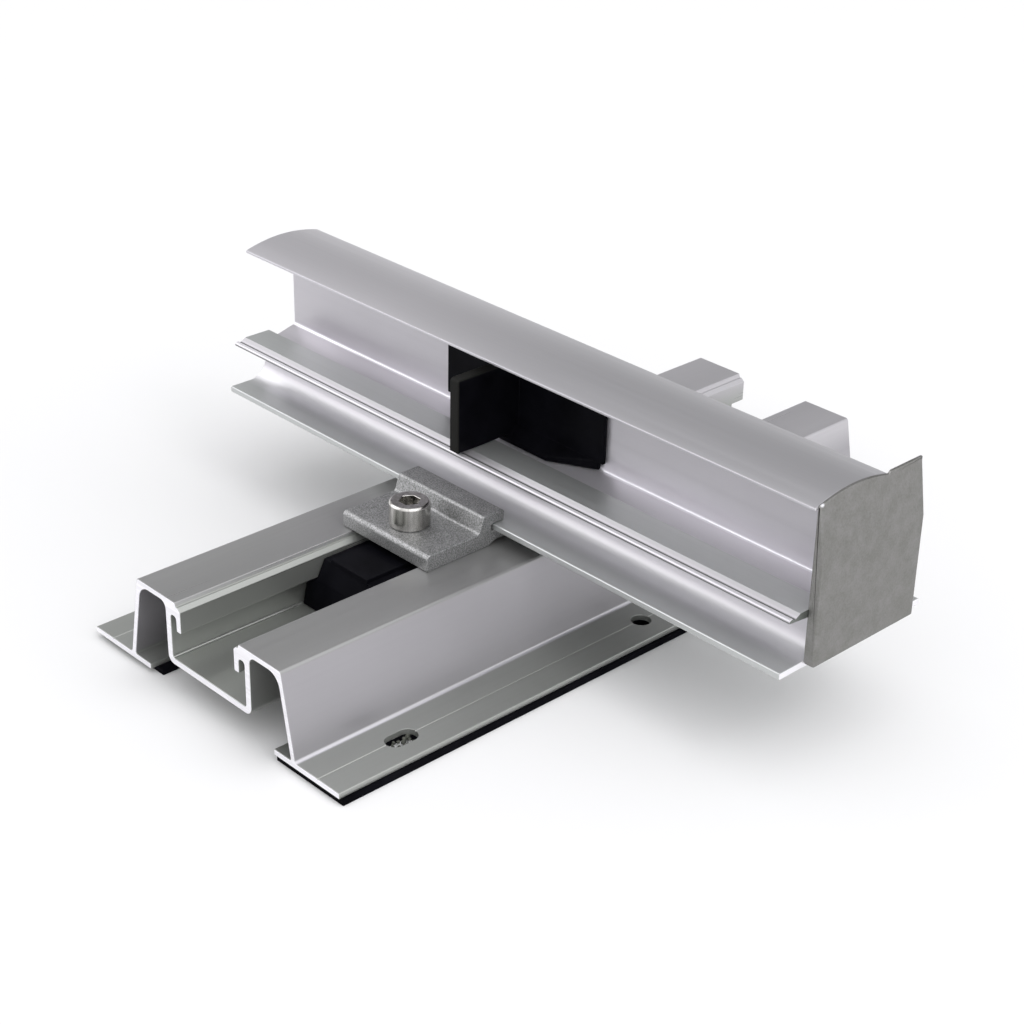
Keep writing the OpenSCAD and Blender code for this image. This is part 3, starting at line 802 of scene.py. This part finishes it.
def crumb_tree():
    """Rough stones of several sizes, spread over the faces that come in."""
    tree, given = new_tree("crumbs", ["Spacing", "Size", "Seed"])
    new, link = tree.nodes.new, tree.links.new
    points = new("GeometryNodeDistributePointsOnFaces")
    points.distribute_method = "POISSON"
    points.inputs["Density Max"].default_value = STONES_PER_SQUARE_METRE
    link(given["Geometry"], points.inputs["Mesh"])
    link(given["Spacing"], points.inputs["Distance Min"])
    link(given["Seed"], points.inputs["Seed"])
    stone = new("GeometryNodeMeshIcoSphere")
    stone.inputs["Subdivisions"].default_value = 2
    link(given["Size"], stone.inputs["Radius"])
    turn_by = new("FunctionNodeRandomValue")
    turn_by.data_type = "FLOAT_VECTOR"
    turn_by.inputs["Max"].default_value = ANY_TURN
    grow_by = new("FunctionNodeRandomValue")
    grow_by.inputs[2].default_value = SMALLEST
    grow_by.inputs[3].default_value = LARGEST
    place = new("GeometryNodeInstanceOnPoints")
    link(points.outputs["Points"], place.inputs["Points"])
    link(stone.outputs["Mesh"], place.inputs["Instance"])
    link(turn_by.outputs["Value"], place.inputs["Rotation"])
    link(grow_by.outputs[1], place.inputs["Scale"])
    rough = new("ShaderNodeTexNoise")
    rough.inputs["Scale"].default_value = DENT_WAVES
    push = new("ShaderNodeVectorMath")
    push.operation = "MULTIPLY_ADD"
    push.inputs[1].default_value = DENT_REACH
    push.inputs[2].default_value = -DENT_REACH / 2
    link(rough.outputs["Color"], push.inputs[0])
    dent = new("GeometryNodeSetPosition")
    link(realized(tree, place.outputs["Instances"]), dent.inputs["Geometry"])
    link(push.outputs["Vector"], dent.inputs["Offset"])
    return finished(tree, given, dent.outputs["Geometry"])


def crumb_finish():
    """Dull, dark and specked."""
    material, tree, shader, place = new_finish("dark_crumbs")
    specks = noise(tree, place, 900.0, 3.0)
    tree.links.new(tint(tree, specks, (0.025, 0.028, 0.022), (0.12, 0.125, 0.105)),
                   shader.inputs["Base Color"])
    shader.inputs["Roughness"].default_value = 0.8
    return material


print("crumb tree ready")

# %% Scatter the crumbs under the slot
right_foot = MOUNTS["foot_slots_right"]["pos_m"]
SLOT_MIDDLE = (right_foot[0], right_foot[1] - SLOT_PITCH / 2)
STRIP_HALF_WIDE = HOLE_WIDTH / 2 - 0.6 * MM
STRIP_HALF_LONG = SLOT_LENGTH / 2 - 0.9 * MM
STRIP_HEIGHT = 1.3 * MM
strip = bpy.data.meshes.new("strip_under_slot")
strip.from_pydata([(SLOT_MIDDLE[0] + u * STRIP_HALF_WIDE, SLOT_MIDDLE[1] + v * STRIP_HALF_LONG,
                    STRIP_HEIGHT) for u, v in ((-1, -1), (1, -1), (1, 1), (-1, 1))],
                  [], [(0, 1, 2, 3)])
crumbs = solved("slot_crumbs", strip, crumb_tree(),
                {"Spacing": 1.3 * MM, "Size": 0.75 * MM, "Seed": 4, "Finish": crumb_finish()})
heights = [v.co.z / MM for v in crumbs.data.vertices]
print("crumbs:", len(crumbs.data.polygons), "faces, from z", round(min(heights), 2),
      "to", round(max(heights), 2), "mm")

# %% [markdown]
# ## Each piece on its body
# A piece that replaces a solid moves with the body that carries the solid, and the solid is hidden.

# %% Put the pieces on their bodies
BODY_OF = {n: body for body, names in frame["record"]["behaviour"]["bodies"].items() for n in names}
for node, piece in pieces.items():
    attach(piece, BODY_OF[node])
    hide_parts(node)
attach(crumbs, BODY_OF["base_rail"])
print("riding:", len(pieces) + 1)

# %% [markdown]
# ## Floor and studio light
# The floor is a pale plain sheet that fades to white. The light is a dome: dim all round, with a
# broad glow overhead to the right, a weaker glow from the left, and a brighter rim near the
# horizon that the upright faces mirror. Two large lamps are seen only in reflections. They draw
# the soft bright bands on the legs and the long stripes on the nose and the shelf. One small lamp
# adds the glints on the screws.


# %% Floor
FLOOR_HALF = 6.0
floor_mesh = bpy.data.meshes.new("floor")
floor_mesh.from_pydata([(-FLOOR_HALF, -FLOOR_HALF, 0), (FLOOR_HALF, -FLOOR_HALF, 0),
                        (FLOOR_HALF, FLOOR_HALF, 0), (-FLOOR_HALF, FLOOR_HALF, 0)],
                       [], [(0, 1, 2, 3)])
floor = placed("floor", floor_mesh)
floor_finish, _, floor_shader, _ = new_finish("pale_floor")
floor_shader.inputs["Base Color"].default_value = (0.82, 0.82, 0.82, 1.0)
floor_shader.inputs["Roughness"].default_value = 0.9
floor_shader.inputs["Specular IOR Level"].default_value = 0.1
floor_mesh.materials.append(floor_finish)
print("floor is", 2 * FLOOR_HALF, "m wide")


# %% Sky
# How bright the sky is all round, and what each glow adds; a higher power draws a glow together
SKY_GREY = 0.12
GLOW_WAY = Vector((0.50, -0.12, 0.84)).normalized()
GLOW_LIGHT, GLOW_POWER = 2.1, 2.0
SIDE_WAY = Vector((-0.85, -0.35, 0.39)).normalized()
SIDE_LIGHT, SIDE_POWER = 0.45, 1.5
RIM_LIGHT, RIM_POWER = 1.5, 5.0
world = bpy.data.worlds.new("studio")
bpy.context.scene.world = world
world.use_nodes = True
sky_tree = world.node_tree
sky = sky_tree.nodes["Background"]
sky.inputs["Color"].default_value = (0.985, 0.985, 1.0, 1.0)
look = sky_tree.nodes.new("ShaderNodeTexCoord").outputs["Generated"]


def sky_math(operation, first, *numbers):
    """One step of arithmetic on the sky's brightness."""
    node = sky_tree.nodes.new("ShaderNodeMath")
    node.operation = operation
    sky_tree.links.new(first, node.inputs[0])
    for socket, number in enumerate(numbers, 1):
        if isinstance(number, float):
            node.inputs[socket].default_value = number
        else:
            sky_tree.links.new(number, node.inputs[socket])
    return node.outputs[0]


def sky_along(way):
    """How well a look direction agrees with a given way, never below zero."""
    node = sky_tree.nodes.new("ShaderNodeVectorMath")
    node.operation = "DOT_PRODUCT"
    node.inputs[1].default_value = way
    sky_tree.links.new(look, node.inputs[0])
    return sky_math("MAXIMUM", node.outputs["Value"], 0.0)


def with_glow(nearness, power, light, below):
    """Adds a glow to the sky, from how near each look direction is to it."""
    return sky_math("MULTIPLY_ADD", sky_math("POWER", nearness, power), light, below)


lowness = sky_math("MULTIPLY_ADD", sky_along(Vector((0, 0, 1))), -1.0, 1.0)
strength = with_glow(sky_along(GLOW_WAY), GLOW_POWER, GLOW_LIGHT, SKY_GREY)
strength = with_glow(lowness, RIM_POWER, RIM_LIGHT, strength)
strength = with_glow(sky_along(SIDE_WAY), SIDE_POWER, SIDE_LIGHT, strength)
sky_tree.links.new(strength, sky.inputs["Strength"])
print("sky nodes:", len(sky_tree.nodes))


# %% Lamps
def lamp(name, place, target, size, power, colour, only_reflected=False):
    """A soft square lamp that faces its target."""
    data = bpy.data.lights.new(name, "AREA")
    data.shape = "SQUARE"
    data.size = size
    data.energy = power
    data.color = colour
    thing = placed(name, data)
    facing = (Vector(target) - Vector(place)).to_track_quat("-Z", "Y")
    thing.matrix_world = Matrix.Translation(place) @ facing.to_matrix().to_4x4()
    thing.visible_diffuse = not only_reflected


LAMP_WHITE = (1.0, 0.98, 1.0)
lamp("lamp_bands", (-1.27, -0.96, 1.12), (0, 0, 0.04), 1.6, 14.0, LAMP_WHITE, only_reflected=True)
lamp("lamp_stripes", (-1.25, -0.20, 1.55), (0, 0, 0.04), 1.1, 2.5, LAMP_WHITE, only_reflected=True)
lamp("lamp_glints", (0.9, -0.1, 1.1), (0, 0, 0), 0.35, 1.5, (1.0, 0.99, 0.98))
bpy.context.scene.view_settings.view_transform = "Standard"
